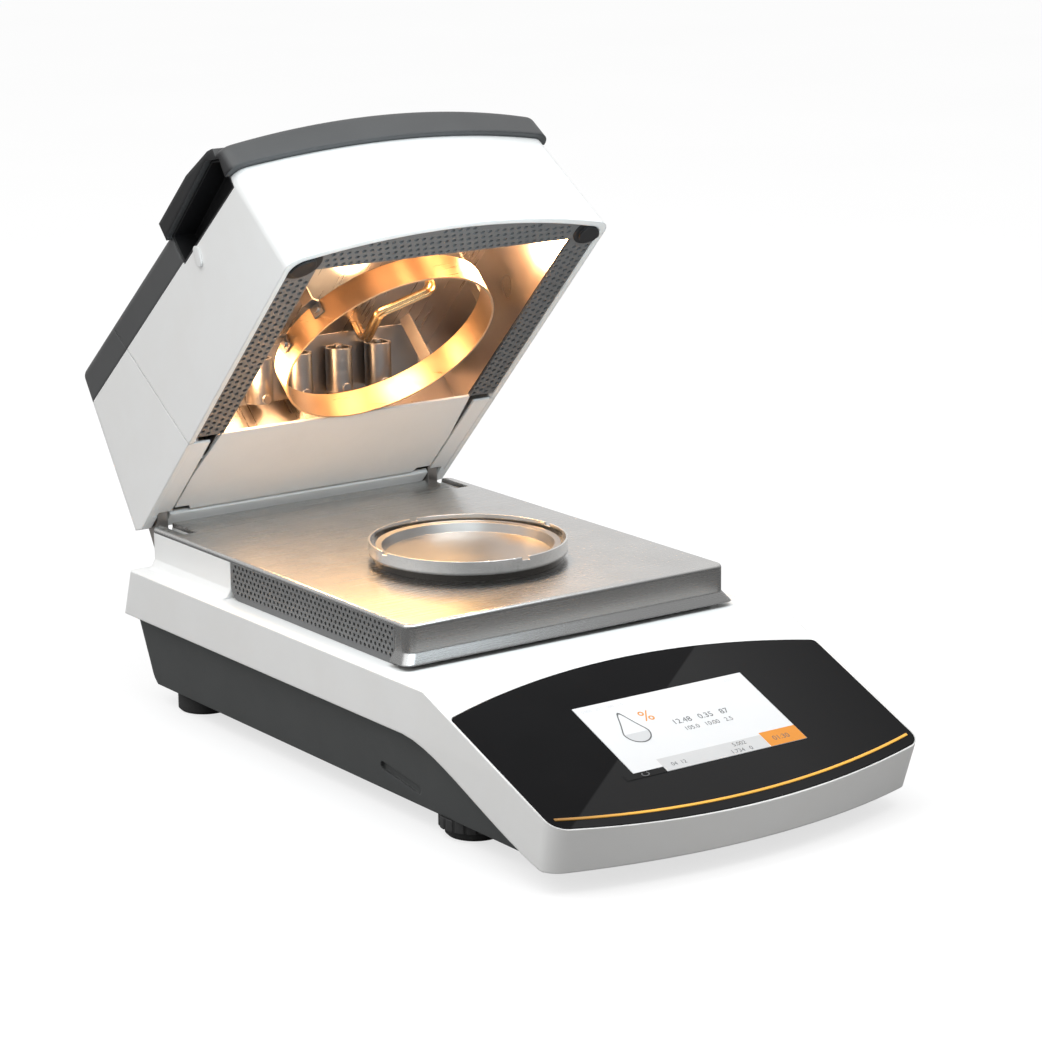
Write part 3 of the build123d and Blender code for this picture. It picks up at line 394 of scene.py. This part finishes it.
def perforated(name, place, u0, u1, depth_v, pitch_u, pitch_v, r, keep, limit=None, drop=None, sides=8):
    """A sheet with staggered round holes. place(u, v, w) gives scene metres; v runs from 0 to limit(u)."""
    verts, faces, seen = [], [], {}
    limit = limit or (lambda u: depth_v)

    def put(u, v, w):
        v = min(v, limit(u))
        key = (round(u, 3), round(v, 3), w)
        if key not in seen:
            seen[key] = len(verts)
            verts.append(place(u, v, w))
        return seen[key]

    def polygon(points):
        loop = [p for i, p in enumerate(points) if p != points[i - 1]]
        if len(loop) > 2:
            faces.append(loop)

    rows = max(1, round(depth_v / pitch_v))
    dv = depth_v / rows
    for j in range(rows):
        a0, a1 = j * dv, (j + 1) * dv
        shift = 0.5 * (j % 2)
        cols = int((u1 - u0) / pitch_u) + 1
        edges = [min(u1, max(u0, u0 + (i - shift) * pitch_u)) for i in range(cols + 2)]
        edges[-1] = u1
        for b0, b1 in zip(edges, edges[1:]):
            cu, cv = (b0 + b1) / 2, (a0 + a1) / 2
            if b1 - b0 < 0.01 or a0 >= max(limit(b0), limit(b1)) - 0.01 or (drop and drop(cu, cv)):
                continue
            whole = pitch_u * 0.95 < b1 - b0 < pitch_u * 1.3
            if not whole or not keep(cu, cv) or cv + r + 0.4 > min(limit(b0), limit(b1)):
                polygon([put(b0, a0, 0), put(b1, a0, 0), put(b1, a1, 0), put(b0, a1, 0)])
                polygon([put(b0, a0, 1), put(b0, a1, 1), put(b1, a1, 1), put(b1, a0, 1)])
                continue
            for w in (0, 1):
                turns = [2 * pi * (k + 0.5) / sides for k in range(sides)]
                hole = [put(cu + r * cos(a), cv + r * sin(a), w) for a in turns]
                corner = [put(b1, a1, w), put(b0, a1, w), put(b0, a0, w), put(b1, a0, w)]
                n = sides // 4
                for c in range(4):
                    ring = [hole[(c * n + k) % sides] for k in range(n)]
                    face = [corner[c], corner[(c + 1) % 4], hole[((c + 1) * n) % sides]] + ring[::-1]
                    faces.append(face if w else face[::-1])
                if w == 0:
                    front = hole
            for k in range(sides):
                faces.append([front[k], front[(k + 1) % sides], hole[(k + 1) % sides], hole[k]])
    return verts, faces


def sheet(name, place, body, *shape, replaces=None, **more):
    verts, faces = perforated(name, place, *shape, **more)
    o = new_mesh(name, verts, faces, "grille_metal", body)
    if replaces:
        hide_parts(replaces)
    return o


# Perforated sheets.
GRILLE_TOP, GRILLE_DEEP, GRILLE_U0, GRILLE_U1 = 92.4, 18.8, -48.6, 102.2
ARC_R = (96.0 ** 2 + 14.4 ** 2) / (2 * 14.4)       # the arched front of the lid
FRONT_S, SHADE_SHEET_T = 210.8, 2.3
CORNER_R = 7.0


def side_place(side):
    def place(u, v, w):
        flare = max(0.0, v - 16.2) * 0.12
        return at(side * (95.4 - w + flare), u, GRILLE_TOP - v)
    return place


def grille_limit(u):
    near = max(0.0, u - (GRILLE_U1 - CORNER_R))
    return GRILLE_DEEP - (CORNER_R - sqrt(max(0.0, CORNER_R ** 2 - near * near)))


def front_limit(u):
    return 235.4 - (ARC_R - sqrt(ARC_R ** 2 - u * u)) - 3.9 - FRONT_S


def by_bumper(u, v):
    return sqrt((abs(u) - 87) ** 2 + (v - 6.2) ** 2)


def strip_place(side):
    return lambda u, v, w: in_lid(side * (76.6 + v), u, 0.6 + 1.3 * w)


def shade_sheet(name, outline):
    """Painted shade: a black sheet behind the holes, so that they read dark."""
    o = new_mesh(name, outline, [list(range(len(outline)))], "black_plastic", "lid")


for side, word in ((-1, "left"), (1, "right")):
    sheet("grille_sheet_" + word, side_place(side), "base", GRILLE_U0, GRILLE_U1, GRILLE_DEEP,
          3.7, 2.69, 0.98, lambda u, v: v < 16.1, limit=grille_limit, replaces="side_grille_" + word)
    sheet("hood_strip_" + word, strip_place(side), "lid", 75.6, 210.4, 16.0, 4.4, 4.0, 1.3,
          lambda u, v: u < 204, replaces="side_strip_" + word)
    # Black sheets behind the side strips give painted shade in their holes.
    outline = ((76.8, 75.8), (92.4, 75.8), (92.4, 205), (76.8, 205))
    shade_sheet_points = [in_lid(side * x, s, SHADE_SHEET_T) for x, s in outline]
    shade_sheet("hood_shade_sheet_" + word, shade_sheet_points)
sheet("hood_strip_front", lambda u, v, w: in_lid(u, FRONT_S + v, 0.6 + 1.3 * w), "lid", -90.6, 90.6, 20.8,
      4.4, 4.0, 1.3, lambda u, v: by_bumper(u, v) > 13.5, limit=front_limit,
      drop=lambda u, v: by_bumper(u, v) < 8.5, replaces="front_strip")
# The front strip's black sheet, painted shade in its holes.
outline = ((-76, 211), (76, 211), (76, 222), (50, 227), (0, 231), (-50, 227), (-76, 222))
shade_sheet("hood_shade_sheet_front", [in_lid(x, s, SHADE_SHEET_T) for x, s in outline])

# Screen content.
def flat_piece(name, outline, up, material):
    verts = [on_panel(x, q, up) for x, q in outline]
    o = new_mesh(name, verts, [list(range(len(verts)))], material, "base")
    return o


flat_piece("screen_bar", [(-31, 65.9), (30.2, 65.9), (30.2, 56.8), (-31, 56.8)], 0.47, "bar_grey")
flat_piece("screen_key", [(30.4, 65.9), (51.9, 65.9), (51.9, 55.4), (30.4, 55.4)], 0.48, "key_orange")
flat_piece("screen_notch", [(-54.0, 66.3), (-31, 66.3), (-31, 62.4), (-54.0, 62.4)], 0.48, "panel_glass")


def drop_outline(cx, cq, r, tall, n=28):
    """A falling drop: a circle drawn out to a point above it."""
    points = []
    for k in range(n):
        a = 2 * pi * k / n
        high = max(0.0, cos(a))
        narrow = 1 - 0.45 * high ** 1.5
        points.append((cx + r * sin(a) * narrow, cq - r * cos(a) - (tall - r) * high ** 3))
    return points


outer, inner = drop_outline(-28.0, 36.6, 7.4, 16.0), drop_outline(-28.0, 36.6, 6.7, 14.6)
n = len(outer)
ring = new_mesh("screen_drop", [on_panel(x, q, 0.5) for x, q in outer + inner],
                [[k, (k + 1) % n, n + (k + 1) % n, n + k] for k in range(n)], "ink_grey", "base")
flat_piece("screen_fill", [p for p in inner if p[1] > 36.0], 0.49, "pale_grey")
arc = [(-42.5 + 2.3 * sin(a), 64.4 - 1.5 * cos(a)) for a in (0.6 + 0.5 * k for k in range(11))]
power = arc + [(-42.5 + (x + 42.5) * 0.7, 64.4 + (q - 64.4) * 0.7) for x, q in arc]
new_mesh("screen_power", [on_panel(x, q, 0.52) for x, q in power],
                 [[k, k + 1, 12 + k, 11 + k] for k in range(10)], "ink_grey", "base")


def number(name, text, x, q, size, material, up=0.5):
    curve = bpy.data.curves.new(name, "FONT")
    curve.body = text
    curve.size = size / 1000
    temp = bpy.data.objects.new(name + "_t", curve)
    bpy.context.scene.collection.objects.link(temp)
    bpy.context.view_layer.update()
    me = bpy.data.meshes.new_from_object(temp.evaluated_get(bpy.context.evaluated_depsgraph_get()))
    bpy.data.objects.remove(temp)
    for v in me.vertices:
        v.co = on_panel(x + v.co.x * 1000, q - v.co.y * 1000, up)
    me.materials.clear()
    me.materials.append(MATS[material])
    o = bpy.data.objects.new(name, me)
    bpy.context.scene.collection.objects.link(o)
    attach(o, "base")
    return o


LINES = (
    ("screen_title", "0.000   20.0   500   1.0", -45, 16.4, 2.6, "pale_grey"),
    ("screen_clock", "14:05", 38, 16.4, 2.6, "pale_grey"),
    ("screen_share", "%", -19, 30.5, 10.5, "key_orange"),
    ("screen_value", "12.48   0.35   87", -6, 37.0, 5.0, "ink_grey"),
    ("screen_heat", "105.0   10:00   2.5", -3, 42.6, 3.9, "ink_grey"),
    ("screen_step", "04  12", -26, 63.3, 3.4, "ink_grey"),
    ("screen_weight", "5.002", 12, 60.3, 3.6, "ink_grey"),
    ("screen_tare", "1.734   0", 8, 64.8, 3.6, "ink_grey"),
    ("screen_start", "01:30", 35, 62.4, 4.4, "ink_grey"),
)
for name, text, x, q, size, ink in LINES:
    number(name, text, x, q, size, ink)

# Floor, light, camera.
floor_mat = bpy.data.materials.new("floor")
floor_mat.use_nodes = True
ft = floor_mat.node_tree
ft.nodes.clear()
seen = node(ft, "ShaderNodeLightPath").outputs["Is Camera Ray"]
fn = noise(ft, object_coords(ft), 3.0, 2.0)
matt = node(ft, "ShaderNodeBsdfDiffuse", {"Color": mix(ft, fn, (0.30, 0.30, 0.30), (0.32, 0.32, 0.32))})
glow = node(ft, "ShaderNodeEmission", {"Color": (1, 1, 1, 1), "Strength": math(ft, "MULTIPLY", seen, 0.70)})
both = node(ft, "ShaderNodeAddShader")
ft.links.new(matt.outputs[0], both.inputs[0])
ft.links.new(glow.outputs[0], both.inputs[1])
ft.links.new(both.outputs[0], node(ft, "ShaderNodeOutputMaterial").inputs[0])
bpy.ops.mesh.primitive_plane_add(size=30, location=(0, 0, -0.0002))
floor = bpy.context.object
floor.name = "floor"
floor.data.materials.append(floor_mat)

scene = bpy.context.scene
world = bpy.data.worlds.new("studio")
scene.world = world
world.use_nodes = True
wt = world.node_tree
wt.nodes.clear()
way = node(wt, "ShaderNodeSeparateXYZ", {0: node(wt, "ShaderNodeTexCoord").outputs["Generated"]})
front_dark = remap(wt, way.outputs[1], -0.9, 0.2, 0.07, 0.85)
overhead = remap(wt, way.outputs[2], 0.1, 0.75, 0.0, 1.0)
level = node(wt, "ShaderNodeMix", {0: overhead, 2: front_dark, 3: 0.95})
view = node(wt, "ShaderNodeLightPath").outputs["Is Camera Ray"]
final = node(wt, "ShaderNodeMix", {0: view, 2: level.outputs[0], 3: 1.0})
sky = node(wt, "ShaderNodeBackground", {"Color": (1, 1, 1, 1), "Strength": final.outputs[0]})
wt.links.new(sky.outputs[0], node(wt, "ShaderNodeOutputWorld").inputs[0])


def area(name, loc, target, size, power, colour=(1, 1, 1)):
    light = bpy.data.lights.new(name, "AREA")
    light.shape = "RECTANGLE"
    light.size, light.size_y = size
    light.energy = power
    light.color = colour
    o = bpy.data.objects.new(name, light)
    scene.collection.objects.link(o)
    o.location = loc
    o.rotation_euler = (Vector(target) - Vector(loc)).to_track_quat("-Z", "Y").to_euler()
    o.visible_camera = False
    return o


area("key", (-1.0, 0.05, 1.5), (0, 0, 0.1), (1.3, 1.3), 12.5)
area("front_top", (0.15, -0.75, 1.7), (0, 0, 0.1), (1.0, 0.8), 6)
area("under_lid", (-0.05, -0.17, 0.30), (0, 0.14, 0.17), (0.3, 0.1), 0.64, (0.80, 0.93, 1.0))
warm = area("warm", in_lid(-6, 132, -4), in_lid(-6, 132, -60), (0.14, 0.12), 0.15, (1.0, 0.60, 0.26))
warm.parent = BODY["lid"]
GLOWS = (("glow_a", 60, 176, 22, 0.42), ("glow_b", -60, 92, 22, 0.26), ("glow_c", 0, 140, 38, 0.14))
for name, x, s, t, power in GLOWS:
    light = bpy.data.lights.new(name, "POINT")
    light.energy = power
    light.color = (1.0, 0.60, 0.30)
    light.shadow_soft_size = 0.012
    o = bpy.data.objects.new(name, light)
    scene.collection.objects.link(o)
    o.location = in_lid(x, s, t)
    o.parent = BODY["lid"]

yaw, pitch, roll = radians(-35.339), radians(13.815), radians(-0.556)
back = Vector((sin(yaw) * cos(pitch), -cos(yaw) * cos(pitch), sin(pitch)))
right = Vector((0, 0, 1)).cross(back).normalized()
up = back.cross(right)
R = right * cos(roll) + up * sin(roll)
U = -right * sin(roll) + up * cos(roll)
C = Vector((0, 0, 90)) - R * -10.27 - U * -28.744 + back * 1643.269
cam = bpy.data.cameras.new("camera")
cam.sensor_width = 36
cam.lens = 36 * 3293.6 / 1042
cam.clip_end = 50
co = bpy.data.objects.new("camera", cam)
scene.collection.objects.link(co)
co.matrix_world = Matrix((
    (R.x, U.x, back.x, C.x / 1000), (R.y, U.y, back.y, (C.y - Y0) / 1000), (R.z, U.z, back.z, C.z / 1000),
    (0, 0, 0, 1)))
scene.camera = co
scene.view_settings.view_transform = "Standard"
